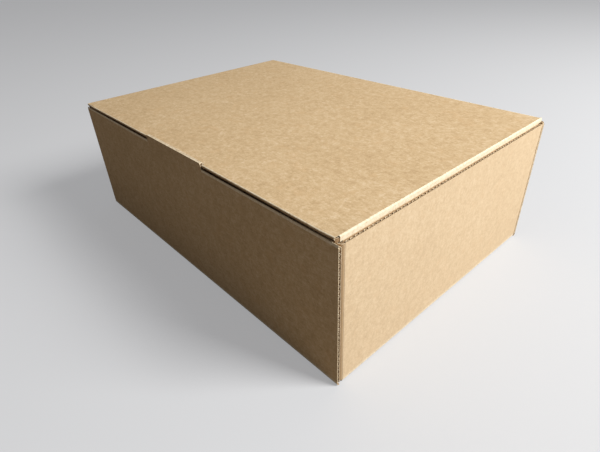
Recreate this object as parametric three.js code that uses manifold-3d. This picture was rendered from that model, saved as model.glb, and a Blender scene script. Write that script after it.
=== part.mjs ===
// Mailer box of corrugated kraft board, closed, as one die-cut and folded sheet with a hinged lid.
// Millimetres. X runs along the front, -Y is the front, +Z is up, the origin is under the centre of the base.
import * as THREE from 'three';
import { mergeVertices } from 'three/addons/utils/BufferGeometryUtils.js';
import Module from 'manifold-3d';

const wasm = await Module();
wasm.setup();

// Outside size of the closed box
const WIDTH = 316;
const DEPTH = 223;
const LID_TOP = 104.3;

// Board and folds
const BOARD = 2.0;
const FOLD_R = 2.4;
const FOLD_STEPS = 5;
const GAP = 0.3;

// The board's inside, open to view along the edges that are cut across the flutes
const FLUTE_PITCH = 3.3;
const LINER = 0.3;
const MEDIUM = 0.25;
const FLUTE_DEPTH = 1.6;

// Cut top edges, below the lid's top
const FRONT_DROP = 4.6;
const SIDE_DROP = 3.6;
const FRONT_TOP = LID_TOP - FRONT_DROP;
const SIDE_TOP = LID_TOP - SIDE_DROP;

// The back wall narrows at its shoulders to the width of the hinge crease
const SHOULDER_DROP = 2.9;
const SHOULDER_CUT = 4.5;
const BACK_TOP = LID_TOP - FOLD_R - GAP;
const BACK_SHOULDER = BACK_TOP - SHOULDER_DROP;

// Tab in the middle of the front wall, just above the lid's top
const TAB_LENGTH = 75;
const TAB_RISE = 1.1;
const TAB_CORNER = 1.2;
const TAB_TOP = LID_TOP + TAB_RISE;

// Corner flaps glued behind the front and back walls, with sloped tops that the tuck flap passes
const CORNER_FLAP = 48;
const CORNER_DROP = 13;
const CORNER_FALL = 3;
const CORNER_RELIEF = 2.7;
const CORNER_CUT = [8, 6];

// Lid: panel, two side flaps inside the side walls, tuck flap behind the front wall on a crushed, tighter fold
const LID_INSET = BOARD + GAP;
const LID_RELIEF = 0.4;
const CRUSHED_R = 1.2;
const SIDE_FLAP = 50;
const SIDE_FLAP_TAPER = 7;
const SIDE_FLAP_ROUND = 9;
const SIDE_FLAP_REST = 1.2;
const TUCK_FLAP = 30;
const TUCK_SLANT = 9.5 * Math.PI / 180;
const TUCK_EAR = 11;
const TUCK_TAPER = 3;
const TUCK_ROUND = 10;

// How far a solid runs into its neighbour before they are joined, and a cutter past a face
const LAP = 0.5;
const GLUE = 0.01;

const xr = WIDTH / 2;
const yf = -DEPTH / 2;
const yb = DEPTH / 2;

// Frames for the three directions a profile can run in
const ALONG = {
  x: new THREE.Matrix4().makeBasis(
    new THREE.Vector3(0, 1, 0), new THREE.Vector3(0, 0, 1), new THREE.Vector3(1, 0, 0)),
  y: new THREE.Matrix4().makeBasis(
    new THREE.Vector3(0, 0, 1), new THREE.Vector3(1, 0, 0), new THREE.Vector3(0, 1, 0)),
  z: new THREE.Matrix4(),
};

function toManifold(geometry) {
  const bare = new THREE.BufferGeometry();
  bare.setAttribute('position', geometry.getAttribute('position').clone());
  if (geometry.index) bare.setIndex(geometry.index.clone());
  const merged = mergeVertices(bare, 1e-5);
  const mesh = new wasm.Mesh({
    numProp: 3,
    vertProperties: new Float32Array(merged.getAttribute('position').array),
    triVerts: new Uint32Array(merged.index.array),
  });
  return new wasm.Manifold(mesh);
}

// Solid from a closed outline. Outlines are (y,z) along x, (x,z) along y and (x,y) along z.
function run(outline, axis, from, to) {
  const pts = outline.map(([u, v]) => (axis === 'y' ? new THREE.Vector2(v, u) : new THREE.Vector2(u, v)));
  const shape = new THREE.Shape(pts);
  const geometry = new THREE.ExtrudeGeometry(shape, { depth: to - from, bevelEnabled: false, steps: 1 });
  geometry.translate(0, 0, from);
  geometry.applyMatrix4(ALONG[axis]);
  return toManifold(geometry);
}

function arc(cu, cv, r, startDeg, endDeg, steps = FOLD_STEPS) {
  const pts = [];
  for (let i = 0; i <= steps; i += 1) {
    const a = (startDeg + (endDeg - startDeg) * i / steps) * Math.PI / 180;
    pts.push([cu + r * Math.cos(a), cv + r * Math.sin(a)]);
  }
  return pts;
}

const mirror = (outline) => outline.map(([u, v]) => [-u, v]);
const join = (list) => list.reduce((a, b) => a.add(b));

// Flutes open to view along a cut edge: triangles that stand on one liner and then on the other.
// The edge runs from a corner, and the board's thickness lies inward of its outer face.
function openFlutes(length, corner, along, inward) {
  const into = new THREE.Vector3().crossVectors(along, inward);
  const rise = BOARD - 2 * LINER - MEDIUM;
  const half = FLUTE_PITCH / 2 - MEDIUM;
  const count = Math.floor((length - FLUTE_PITCH) * 2 / FLUTE_PITCH);
  const start = (length - count * FLUTE_PITCH / 2) / 2;
  const shapes = [];
  for (let i = 0; i <= count; i += 1) {
    const u = start + i * FLUTE_PITCH / 2;
    const foot = i % 2 === 0 ? LINER : BOARD - LINER;
    const tip = i % 2 === 0 ? LINER + rise : BOARD - LINER - rise;
    shapes.push(new THREE.Shape([
      new THREE.Vector2(u - half, foot), new THREE.Vector2(u + half, foot), new THREE.Vector2(u, tip)]));
  }
  const geometry = new THREE.ExtrudeGeometry(shapes, { depth: FLUTE_DEPTH + LAP, bevelEnabled: false });
  const frame = new THREE.Matrix4().makeBasis(along, inward, into);
  frame.setPosition(corner.clone().addScaledVector(into, -LAP));
  geometry.applyMatrix4(frame);
  return toManifold(geometry);
}

// Tray: base, front wall with its tab, back wall, side walls with corner flaps
function makeTray() {
  const inner = FOLD_R - BOARD;
  const wall = (top) => [
    [yf + FOLD_R + LAP, 0],
    ...arc(yf + FOLD_R, FOLD_R, FOLD_R, 270, 180),
    [yf, top],
    [yf + BOARD, top],
    ...arc(yf + FOLD_R, FOLD_R, inner, 180, 270, 2),
    [yf + FOLD_R + LAP, BOARD],
  ];
  const base = run([
    [-xr + FOLD_R, yf + FOLD_R], [xr - FOLD_R, yf + FOLD_R],
    [xr - FOLD_R, yb - FOLD_R], [-xr + FOLD_R, yb - FOLD_R],
  ], 'z', 0, BOARD);
  const front = run(wall(FRONT_TOP), 'x', -xr, xr);
  const back = run(mirror(wall(BACK_SHOULDER)), 'x', -xr, xr);
  const half = TAB_LENGTH / 2;
  const tab = run([
    [-half, FRONT_TOP - LAP], [half, FRONT_TOP - LAP], [half, TAB_TOP - TAB_CORNER],
    [half - TAB_CORNER, TAB_TOP], [-half + TAB_CORNER, TAB_TOP], [-half, TAB_TOP - TAB_CORNER],
  ], 'y', yf, yf + BOARD);
  const crest = run([
    [-xr, BACK_SHOULDER - LAP], [xr, BACK_SHOULDER - LAP], [xr, BACK_SHOULDER],
    [xr - SHOULDER_CUT, BACK_TOP], [-xr + SHOULDER_CUT, BACK_TOP], [-xr, BACK_SHOULDER],
  ], 'y', yb - BOARD, yb);

  const sideOutline = [
    [xr - FOLD_R - LAP, 0],
    ...arc(xr - FOLD_R, FOLD_R, FOLD_R, 270, 360),
    [xr, SIDE_TOP],
    [xr - BOARD, SIDE_TOP],
    ...arc(xr - FOLD_R, FOLD_R, inner, 360, 270, 2),
    [xr - FOLD_R - LAP, BOARD],
  ];
  const reach = yb - BOARD - FOLD_R;
  const sides = [
    run(sideOutline, 'y', -reach, reach),
    run(mirror(sideOutline), 'y', -reach, reach),
  ];

  // A side wall turns the corner into a flap that lies flat against the front or back wall
  const y0 = yf + BOARD - GLUE;
  const cy = y0 + FOLD_R;
  const turn = [
    [xr, cy + LAP],
    ...arc(xr - FOLD_R, cy, FOLD_R, 360, 270),
    [xr - CORNER_FLAP, y0],
    [xr - CORNER_FLAP, y0 + BOARD],
    ...arc(xr - FOLD_R, cy, inner, 270, 360, 2),
    [xr - BOARD, cy + LAP],
  ];
  const keep = [
    [xr + LAP, CORNER_RELIEF],
    [xr + LAP, SIDE_TOP],
    [xr - FOLD_R, SIDE_TOP],
    [xr - FOLD_R - CORNER_DROP, SIDE_TOP - CORNER_DROP],
    [xr - CORNER_FLAP - LAP, SIDE_TOP - CORNER_DROP - CORNER_FALL],
    [xr - CORNER_FLAP - LAP, CORNER_RELIEF + CORNER_CUT[1]],
    [xr - CORNER_FLAP + CORNER_CUT[0], CORNER_RELIEF],
  ];
  const flap = run(turn, 'z', 0, LID_TOP).intersect(run(keep, 'y', yf, 0));
  const corners = [
    flap,
    flap.mirror([1, 0, 0]),
    flap.mirror([0, 1, 0]),
    flap.mirror([1, 0, 0]).mirror([0, 1, 0]),
  ];
  const blank = join([base, front, back, tab, crest, ...sides, ...corners]);

  const [x, y, z] = [new THREE.Vector3(1, 0, 0), new THREE.Vector3(0, 1, 0), new THREE.Vector3(0, 0, 1)];
  const foot = new THREE.Vector3(xr, yf, FOLD_R);
  const wallEnd = openFlutes(FRONT_TOP - FOLD_R, foot, z, y);
  const backEnd = openFlutes(BACK_SHOULDER - FOLD_R, foot, z, y).mirror([0, 1, 0]);
  const rim = new THREE.Vector3(xr, reach, SIDE_TOP);
  const sideEdge = openFlutes(2 * reach, rim, y.clone().negate(), x.clone().negate());
  return [wallEnd, backEnd, sideEdge].reduce(
    (solid, cut) => solid.subtract(cut).subtract(cut.mirror([1, 0, 0])), blank);
}

// Lid: panel with folds on four sides
function makeLid() {
  const inner = FOLD_R - BOARD;
  const xl = xr - LID_INSET;
  const yl = yf + LID_INSET;
  const panel = run([
    [-xl + FOLD_R, yl + FOLD_R], [xl - FOLD_R, yl + FOLD_R],
    [xl - FOLD_R, yb - FOLD_R], [-xl + FOLD_R, yb - FOLD_R],
  ], 'z', LID_TOP - BOARD, LID_TOP);

  const hinge = run([
    [yb - FOLD_R - LAP, LID_TOP],
    ...arc(yb - FOLD_R, LID_TOP - FOLD_R, FOLD_R, 90, 0),
    ...arc(yb - FOLD_R, LID_TOP - FOLD_R, inner, 0, 90, 2),
    [yb - FOLD_R - LAP, LID_TOP - BOARD],
  ], 'x', -xl + FOLD_R, xl - FOLD_R);

  const zEnd = LID_TOP - FOLD_R - SIDE_FLAP;
  const sideOutline = [
    [xl - FOLD_R - LAP, LID_TOP],
    ...arc(xl - FOLD_R, LID_TOP - FOLD_R, FOLD_R, 90, 0),
    [xl, zEnd],
    [xl - BOARD, zEnd],
    ...arc(xl - FOLD_R, LID_TOP - FOLD_R, inner, 0, 90, 2),
    [xl - FOLD_R - LAP, LID_TOP - BOARD],
  ];
  const f0 = yl + FOLD_R + LID_RELIEF;
  const b0 = yb - 2 * BOARD - SIDE_FLAP_REST;
  const round = SIDE_FLAP_ROUND;
  const sideKeep = [
    [yl + LID_RELIEF, LID_TOP + LAP],
    [yl + LID_RELIEF, SIDE_TOP + GAP],
    [f0, SIDE_TOP + GAP],
    ...arc(f0 + SIDE_FLAP_TAPER + round, zEnd + round, round, 188, 270),
    ...arc(b0 - SIDE_FLAP_REST - round, zEnd + round, round, 270, 358),
    [b0, SIDE_TOP + GAP],
    [yb - FOLD_R, SIDE_TOP + GAP],
    [yb - FOLD_R, LID_TOP + LAP],
  ];
  const flutedFrom = f0 + SIDE_FLAP_TAPER + round;
  const flutedTo = b0 - SIDE_FLAP_REST - round;
  const flutes = openFlutes(flutedTo - flutedFrom, new THREE.Vector3(xl, flutedFrom, zEnd),
    new THREE.Vector3(0, 1, 0), new THREE.Vector3(-1, 0, 0));
  const side = run(sideOutline, 'y', yf, yb).intersect(run(sideKeep, 'x', 0, xr)).subtract(flutes);

  const lean = [Math.cos(TUCK_SLANT), Math.sin(TUCK_SLANT)];
  const down = [lean[1] * TUCK_FLAP, -lean[0] * TUCK_FLAP];
  const outer = arc(yl + CRUSHED_R, LID_TOP - CRUSHED_R, CRUSHED_R, 90, 180 + TUCK_SLANT * 180 / Math.PI);
  const root = outer[FOLD_STEPS];
  const behind = [root[0] + lean[0] * BOARD, root[1] + lean[1] * BOARD];
  const climb = (LID_TOP - BOARD - behind[1]) / lean[0];
  const tuckOutline = [
    [yl + FOLD_R + LAP, LID_TOP],
    ...outer,
    [root[0] + down[0], root[1] + down[1]],
    [behind[0] + down[0], behind[1] + down[1]],
    [behind[0] - lean[1] * climb, LID_TOP - BOARD],
    [yl + FOLD_R + LAP, LID_TOP - BOARD],
  ];
  const e0 = xl - FOLD_R - LID_RELIEF;
  const tip = LID_TOP - FOLD_R - TUCK_FLAP - BOARD;
  const tuckHalf = [
    [e0, LID_TOP + LAP],
    [e0, LID_TOP - FOLD_R],
    [e0 - TUCK_EAR, LID_TOP - FOLD_R - TUCK_EAR],
    ...arc(e0 - TUCK_EAR - TUCK_TAPER - TUCK_ROUND, tip + TUCK_ROUND, TUCK_ROUND, -6, -90),
  ];
  const tuckKeep = [...tuckHalf, ...mirror(tuckHalf).reverse()];
  const tuck = run(tuckOutline, 'x', -e0, e0).intersect(run(tuckKeep, 'y', yf, 0));

  return join([panel, hinge, side, side.mirror([1, 0, 0]), tuck]);
}

function toMesh(solid, name, colour, roughness) {
  const out = solid.getMesh();
  const geometry = new THREE.BufferGeometry();
  const pos = new Float32Array(out.numVert * 3);
  for (let i = 0; i < out.numVert; i += 1) {
    pos[3 * i] = out.vertProperties[out.numProp * i];
    pos[3 * i + 1] = out.vertProperties[out.numProp * i + 1];
    pos[3 * i + 2] = out.vertProperties[out.numProp * i + 2];
  }
  geometry.setAttribute('position', new THREE.BufferAttribute(pos, 3));
  geometry.setIndex(new THREE.BufferAttribute(new Uint32Array(out.triVerts), 1));
  const material = new THREE.MeshStandardMaterial({ color: colour, roughness, metalness: 0 });
  material.name = 'kraft_board';
  const mesh = new THREE.Mesh(geometry, material);
  mesh.name = name;
  return mesh;
}

const part = new THREE.Group();
part.name = 'mailer_box';
part.add(toMesh(makeTray(), 'tray', 0xc9a677, 0.88));
part.add(toMesh(makeLid(), 'lid', 0xc9a677, 0.88));

export default part;
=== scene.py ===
"""Closed mailer box of corrugated kraft board: liners, flutes, folds and the finish of the paper."""
import math

import bmesh
import bpy
from mathutils import Matrix, Quaternion, Vector


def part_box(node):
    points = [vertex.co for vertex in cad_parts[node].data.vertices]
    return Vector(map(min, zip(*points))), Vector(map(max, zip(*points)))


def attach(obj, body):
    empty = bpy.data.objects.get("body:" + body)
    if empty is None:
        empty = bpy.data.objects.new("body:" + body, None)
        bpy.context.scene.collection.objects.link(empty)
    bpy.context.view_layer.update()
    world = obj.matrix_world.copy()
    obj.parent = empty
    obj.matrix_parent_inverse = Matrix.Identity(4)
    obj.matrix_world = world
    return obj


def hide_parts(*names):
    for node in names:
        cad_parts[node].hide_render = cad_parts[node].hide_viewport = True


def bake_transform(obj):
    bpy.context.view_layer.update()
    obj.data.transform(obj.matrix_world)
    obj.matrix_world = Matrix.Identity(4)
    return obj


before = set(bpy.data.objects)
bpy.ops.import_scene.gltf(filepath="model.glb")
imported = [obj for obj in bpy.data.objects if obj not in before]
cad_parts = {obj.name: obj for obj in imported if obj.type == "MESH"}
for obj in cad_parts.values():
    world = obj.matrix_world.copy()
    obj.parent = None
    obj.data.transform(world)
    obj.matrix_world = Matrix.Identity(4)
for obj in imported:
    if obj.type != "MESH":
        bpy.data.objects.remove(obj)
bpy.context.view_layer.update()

bl_info = {
    "name": "Corrugated mailer box",
    "version": (1, 0, 0),
    "blender": (4, 5, 0),
    "location": "View3D > Sidebar > Mailer",
    "description": "Builds a closed mailer box of fluted kraft board around its CAD frame",
    "category": "Object",
}

# Sizes that the frame gives, in metres
TRAY_LOW, TRAY_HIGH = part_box("tray")
LID_LOW, LID_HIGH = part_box("lid")
RIGHT = TRAY_HIGH.x
BACK = TRAY_HIGH.y
FRONT = TRAY_LOW.y
TAB_TOP = TRAY_HIGH.z
LID_TOP = LID_HIGH.z
LID_RIGHT = LID_HIGH.x
LID_FRONT = LID_LOW.y

# Sizes of the blank: lengths in metres, angles in degrees
FOLD_RADIUS = 0.0024
BACK_CORNER_R = 0.0010
FRONT_TOP = LID_TOP - 0.0046
SIDE_TOP = LID_TOP - 0.0036
BACK_TOP = LID_TOP - 0.0027
BACK_CLEAR = BACK_TOP + 0.0002
SHOULDER = BACK_TOP - 0.0008
SHOULDER_CUT = 0.0012
TAB_HALF = 0.0375
TAB_CORNER = 0.0012
TAB_CLEAR = 0.0007
CORNER_FLAP = 0.048
CORNER_FALL = 0.0018
CORNER_RELIEF = 0.0027
CORNER_CUT = 0.007
CORNER_CUT_SLOPE = 0.8
SIDE_FLAP = 0.050
SIDE_FLAP_TOP = SIDE_TOP + 0.0003
SIDE_FLAP_NECK = LID_TOP - 0.0034
SIDE_FLAP_FRONT = LID_FRONT + 0.0028
SIDE_FLAP_BACK = BACK - 0.0052
SIDE_NECK_BACK = BACK - 0.0024
SIDE_FOLD_BACK = BACK - 0.0010
SIDE_FLAP_TAPER = 0.007
SIDE_FLAP_BACK_TAPER = 0.002
SIDE_FLAP_ROUND = 0.009
TUCK_FLAP = 0.030
TUCK_SLANT = 9.5
TUCK_LEAN = 34.0
TUCK_KINK = 0.006
TUCK_ROOT_ROOM = 0.0012
TUCK_START = 0.0012
TUCK_NECK = 0.0138
TUCK_EAR = 0.011
TUCK_IN = 0.003
TUCK_ROUND = 0.010
LIP_LEAN = 70.0
LIP_FRONT = FRONT + 0.0004
LIP_FACES_UP = 0.6

# How the box departs from flat panels: the lid's bow and sag, and its left fold, which stands out
LID_BOW = 0.0007
LID_SAG = 0.0007
LID_SAG_RUN = 0.030
LID_SAG_CORNER = 0.0045
LID_RELIEF = 0.0012
LEFT_BULGE = 0.0022
LEFT_TURN = -45

# The front wall's cut edge, crushed to a wedge
WALL_CRUSH_IN = 0.0003
WALL_CRUSH_UP = 0.0015
WALL_CRUSH_END = 0.0004
WALL_CRUSH_BACK = 0.0001

# Strips of liner that close the corners: the tray's, the lid's, and the one under the lid's left fold
FAR_STRIP_TOP = SIDE_TOP - 0.0002
FAR_STRIP_BOTTOM = SIDE_TOP - 0.0032
FAR_STRIP_LAP = 0.0003
FAR_STRIP_INSET = 0.0001
WEB_BOTTOM = SIDE_TOP + 0.0002
WEB_FRONT = LIP_FRONT + 0.0008
WEB_BACK = LID_FRONT + LID_RELIEF + 0.0004
WEB_FRONT_INSET = 0.0012
WEB_BACK_INSET = 0.0001
WEB_NORMAL = (0.88, -0.47)
CURTAIN_BOTTOM = SIDE_TOP + 0.0003
CURTAIN_FRONT = LIP_FRONT + 0.0010
CURTAIN_BACK = BACK - 0.004
CURTAIN_INSET = 0.0002

# Crushed core at the cut edges: its distance from the edge, its depth, and its lap over the liners
CORE_GAP = 0.00025
CORE_DEEP = 0.0012
CORE_INSET = 0.0005
CORE_LAP = 0.9
CORNER_CORE = (0.0012, 0.0009)
BACK_END_CORE = (0.0008, 0.0001)
TAB_CORE_GAP = 0.00005
TIP_CORE = (0.0008, 0.0003)
TIP_CORE_INSET = 0.001

# Detail of the meshes
STEP = 0.00001
SAME_PLACE = 1e-7
ON_BASE = 1e-6
OPEN = 1.0
CRUSH_SHARE = 0.8
CRUSH_REST = 0.1
FOLD_EASE = 0.0018
FOLD_LEAD = 0.0001
FOLD_STEPS = 8
CORNER_LEAD = 0.0002
KINK_LEAD = 0.0004
ROUND_STEPS = 8
SHARP_LINERS = math.radians(38)
SHARP_FLUTES = math.radians(50)

# Detail of the fluted paper
WAVE_STEPS = 10
FLUTE_INSET = 0.0003
FLUTE_GAP = 0.001
CORNER_FLUTE_LOW = 0.010
SIDE_ROUND_RUN = 0.75
TUCK_ROUND_RUN = 0.8

# The crease between the tray and the lid
CREASE_REACH = 0.0016
CREASE_PROUD = 0.00004
CREASE_TURN = 0.0003
CREASE_OVER = 50

# Finish of the paper. Each run of fibres has its turn, and the noise's scales along and across it
FIBRES = (
    ((0.3, 0.2, 0.5), 260.0, 2300.0),
    ((-0.4, 0.5, 2.1), 240.0, 2600.0),
    ((0.9, -0.3, 1.2), 280.0, 1900.0),
)
SPECULAR = 0.25
LINER_RELIEF = 0.00005
CORE_RELIEF = 0.00008
CORE_ROUGHNESS = 0.92
WALL_FACING = 0.7

# The photograph's camera, worked out from the box's own edges
CAMERA_AT = Vector((0.27231, -0.23441, 0.22061))
CAMERA_LOOK = Vector((-0.63427, 0.55295, -0.54033))
CAMERA_ROLL = math.radians(-2.62)
PHOTO_WIDTH = 600
FOCAL_PIXELS = 441.0
SENSOR = 36.0
CLIP_START = 0.01

FLOOR_HALF = 9.0
BLACK = (0.0, 0.0, 0.0, 1.0)
X, Y, Z = Vector((1, 0, 0)), Vector((0, 1, 0)), Vector((0, 0, 1))

# Slots of a liner mesh: the paper's face, its cut edge, and the side that the flutes are glued to
FACE, CUT, INSIDE = 0, 1, 2
LINER_SLOTS = ("kraft_liner", "kraft_cut", "kraft_core_shaded")

# Slots of a flute mesh
FLUTE, FLUTE_CUT = 0, 1
FLUTE_SLOTS = ("kraft_core_shaded", "kraft_cut")

SOCKETS = {float: "NodeSocketFloat", int: "NodeSocketInt"}


def paint(red, green, blue):
    """A colour as it looks on screen, from 0 to 255, made linear."""
    def linear(value):
        share = value / 255
        return share / 12.92 if share <= 0.04045 else ((share + 0.055) / 1.055) ** 2.4
    return (linear(red), linear(green), linear(blue), 1.0)


# Node trees

class Term:
    """A number in a node tree. Python's operators add the Math nodes."""

    def __init__(self, maker, socket):
        self.maker = maker
        self.socket = socket

    def __add__(self, other):
        return self.maker.math("ADD", self, other)

    def __sub__(self, other):
        return self.maker.math("SUBTRACT", self, other)

    def __rsub__(self, other):
        return self.maker.math("SUBTRACT", other, self)

    def __mul__(self, other):
        return self.maker.math("MULTIPLY", self, other)

    def __truediv__(self, other):
        return self.maker.math("DIVIDE", self, other)

    def __gt__(self, other):
        return self.maker.math("GREATER_THAN", self, other)

    def at_least(self, other):
        return self.maker.math("MAXIMUM", self, other)

    def size(self):
        return self.maker.math("ABSOLUTE", self)

    def sine(self):
        return self.maker.math("SINE", self)

    __radd__ = __add__


class Maker:
    """Adds nodes to one tree."""

    def __init__(self, tree):
        self.tree = tree
        tree.nodes.clear()

    def node(self, kind, settings=None, **values):
        """One node: its settings first, then the values or links of its sockets."""
        made = self.tree.nodes.new(kind)
        for name, value in (settings or {}).items():
            if name == "stops":
                ramp = made.color_ramp.elements
                while len(ramp) < len(value):
                    ramp.new(1.0)
                for element, (place, colour) in zip(ramp, value):
                    element.position = place
                    element.color = colour
            else:
                setattr(made, name, value)
        for name, value in values.items():
            self.feed(made.inputs[name.replace("_", " ")], value)
        return made

    def feed(self, socket, value):
        source = value.socket if isinstance(value, Term) else value
        if isinstance(source, bpy.types.NodeSocket):
            self.tree.links.new(source, socket)
        else:
            socket.default_value = source

    def math(self, operation, first, second=None):
        made = self.tree.nodes.new("ShaderNodeMath")
        made.operation = operation
        self.feed(made.inputs[0], first)
        if second is not None:
            self.feed(made.inputs[1], second)
        return Term(self, made.outputs[0])

    def term(self, node, output=0):
        return Term(self, node.outputs[output])

    def noise(self, vector, scale, detail=3.0, roughness=0.55):
        made = self.node("ShaderNodeTexNoise", Vector=vector, Scale=scale, Detail=detail, Roughness=roughness)
        return self.term(made)

    def between(self, value, low, high):
        """0 below low, 1 above high."""
        made = self.node("ShaderNodeMapRange", {"interpolation_type": "SMOOTHSTEP"},
                         Value=value, From_Min=low, From_Max=high)
        return self.term(made)

    def blend(self, share, first, second):
        """A mix of two colours."""
        made = self.tree.nodes.new("ShaderNodeMix")
        made.data_type = "RGBA"
        self.feed(made.inputs[0], share)
        self.feed(made.inputs[6], first)
        self.feed(made.inputs[7], second)
        return made.outputs[2]


def streaks(maker, place, turn, long_scale, fine_scale):
    """Fibres: noise drawn out along one direction."""
    scale = (long_scale, fine_scale, fine_scale)
    turned = maker.node("ShaderNodeMapping", Vector=place, Rotation=turn, Scale=scale)
    return maker.noise(turned.outputs[0], 1.0, detail=1.5)


def start_material(name):
    """A new material and its node maker."""
    material = bpy.data.materials.new(name)
    material.use_nodes = True
    return material, Maker(material.node_tree)


def finish_material(maker, colour, roughness, height, distance):
    """The shader at the end of a paper's material."""
    bump = maker.node("ShaderNodeBump", Strength=1.0, Distance=distance, Height=height)
    shader = maker.node("ShaderNodeBsdfPrincipled", Base_Color=colour, Roughness=roughness,
                        Specular_IOR_Level=SPECULAR, Normal=bump.outputs[0])
    maker.node("ShaderNodeOutputMaterial", Surface=shader.outputs[0])


def liner_material(board):
    """The kraft liner: mottled pulp, fibres, dark flecks, faint flute lines, paler folds that are partly a
    painted highlight, painted shade at dark folds, and painted light that makes the side walls paler.
    """
    material, maker = start_material("kraft_liner")
    where = maker.node("ShaderNodeTexCoord")
    place = where.outputs["Object"]
    facing = maker.node("ShaderNodeSeparateXYZ", Vector=where.outputs["Normal"])
    axes = maker.node("ShaderNodeSeparateXYZ", Vector=place)
    end_wall = maker.term(facing, 1).size() > WALL_FACING
    across = maker.term(axes, 1) * (1 - end_wall) + maker.term(axes, 2) * end_wall
    ribs = (across * (2 * math.pi / board.pitch)).sine()

    clouds = maker.noise(place, 22.0, detail=2.0)
    mottle = maker.noise(place, 190.0, detail=3.0, roughness=0.6)
    grain = maker.noise(place, 520.0, detail=3.0, roughness=0.62)
    pulp = maker.noise(place, 1300.0, detail=2.0, roughness=0.6)
    fibres, crossing, slanted = (streaks(maker, place, *fibre) for fibre in FIBRES)

    shade = (clouds - 0.5) * 0.20 + (mottle - 0.5) * 0.60 + (grain - 0.5) * 0.68 + (pulp - 0.5) * 0.48
    shade = shade + (fibres - 0.5) * 0.22 + (crossing - 0.5) * 0.22 + (slanted - 0.5) * 0.22 + ribs * 0.010
    tone = maker.node("ShaderNodeValToRGB", {"stops": [
        (0.0, board.dark_colour), (0.5, board.liner_colour), (1.0, board.light_colour)]}, Fac=shade + 0.5)

    warm = maker.between(maker.noise(place, 120.0, detail=3.0), 0.52, 0.74)
    colour = maker.blend(warm * 0.25, tone.outputs[0], board.warm_colour)
    cells = maker.node("ShaderNodeTexVoronoi", Vector=place, Scale=420.0, Randomness=1.0)
    rare = maker.noise(place, 260.0, detail=1.0)
    flecks = (1 - maker.between(maker.term(cells), 0.10, 0.22)) * maker.between(rare, 0.57, 0.65)
    colour = maker.blend(flecks * 0.42, colour, board.fleck_colour)
    hairs = maker.between(fibres * 0.5 + crossing * 0.5, 0.60, 0.70)
    colour = maker.blend(hairs * 0.30, colour, board.light_colour)

    # Painted light: both side walls blend toward a paler, greyer colour that stands in for the bright lit
    # side face.
    painted_side_light = maker.term(facing, 0).size() > WALL_FACING
    colour = maker.blend(painted_side_light * 0.30, colour, board.side_light_colour)

    fold = maker.node("ShaderNodeAttribute", {"attribute_name": "fold"})
    # Painted shade: fold values below 0 blend in the dark pulp colour where shade falls at the corners and
    # under the tuck flap's lip.
    painted_groove_shade = (maker.term(fold, 2) * -1.0).at_least(0.0)
    colour = maker.blend(painted_groove_shade * 0.62, colour, board.dark_colour)
    # Fold values above 0 blend in a pale colour: partly real wear of the paper, partly a painted highlight on
    # lit folds, side flaps and the crushed front edge.
    wear_and_highlight = maker.term(fold, 2).at_least(0.0) * (0.75 + (grain - 0.5) * 1.8)
    colour = maker.blend(wear_and_highlight * 0.80, colour, board.worn_and_highlight_colour)

    roughness = 0.80 + (mottle - 0.5) * 0.18 + maker.term(fold, 2) * 0.06
    height = grain * 0.5 + pulp * 0.4 + fibres * 0.3 + crossing * 0.3 + mottle * 0.5 + ribs * 0.07
    finish_material(maker, colour, roughness, height, LINER_RELIEF)
    return material


def core_material(name, dark, middle, pale):
    """Bare pulp with torn fibres, for the fluted paper and the cut edges."""
    material, maker = start_material(name)
    place = maker.node("ShaderNodeTexCoord").outputs["Object"]
    mottle = maker.noise(place, 420.0, detail=3.0)
    torn = maker.noise(place, 2400.0, detail=3.0, roughness=0.7)
    shade = (mottle - 0.5) * 1.2 + (torn - 0.5) * 1.1 + 0.5
    tone = maker.node("ShaderNodeValToRGB", {"stops": [(0.0, dark), (0.5, middle), (1.0, pale)]}, Fac=shade)
    finish_material(maker, tone.outputs[0], CORE_ROUGHNESS, torn * 0.8 + mottle * 0.4, CORE_RELIEF)
    return material


# Board in section

class Track:
    """The outer face of a run of board in section.

    Each station has its point, its outward normal, how much it is in a fold, and the board's room.
    A fold of 1 is pale, partly from real wear and partly a painted highlight, and one of -1 is painted shade.
    """

    def __init__(self):
        self.stations = []

    def add(self, place, normal, fold, room=OPEN):
        if self.stations:
            last, last_normal, last_fold, last_room = self.stations[-1]
            if (last - place).length < SAME_PLACE:
                self.stations[-1] = (last, last_normal, max(last_fold, fold), min(last_room, room))
                return
        self.stations.append((place, normal, fold, room))

    def line(self, start, end, normal, steps=1, fold=0.0, room=OPEN):
        start, end, normal = Vector(start), Vector(end), Vector(normal)
        length = (end - start).length
        shares = {i / steps for i in range(steps + 1)}
        if length > 4 * FOLD_EASE:
            shares |= {FOLD_EASE / length, 1 - FOLD_EASE / length}
        for share in sorted(shares):
            self.add(start.lerp(end, share), normal, fold, room)
        return self

    def turn(self, centre, radius, first, last, steps=FOLD_STEPS, fold=1.0):
        for i in range(steps + 1):
            angle = math.radians(first + (last - first) * i / steps)
            normal = Vector((math.cos(angle), math.sin(angle)))
            self.add(Vector(centre) + normal * radius, normal, fold, radius)
        return self

    def shade(self, rule):
        """Sets how much of a fold each station is in, from its normal and what it was before."""
        self.stations = [(point, normal, rule(normal, fold), room)
                         for point, normal, fold, room in self.stations]
        return self


def squeezed(depth, room):
    """A depth in the board, less where a tight fold crushes it."""
    return min(depth, room * CRUSH_SHARE + depth * CRUSH_REST)


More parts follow.
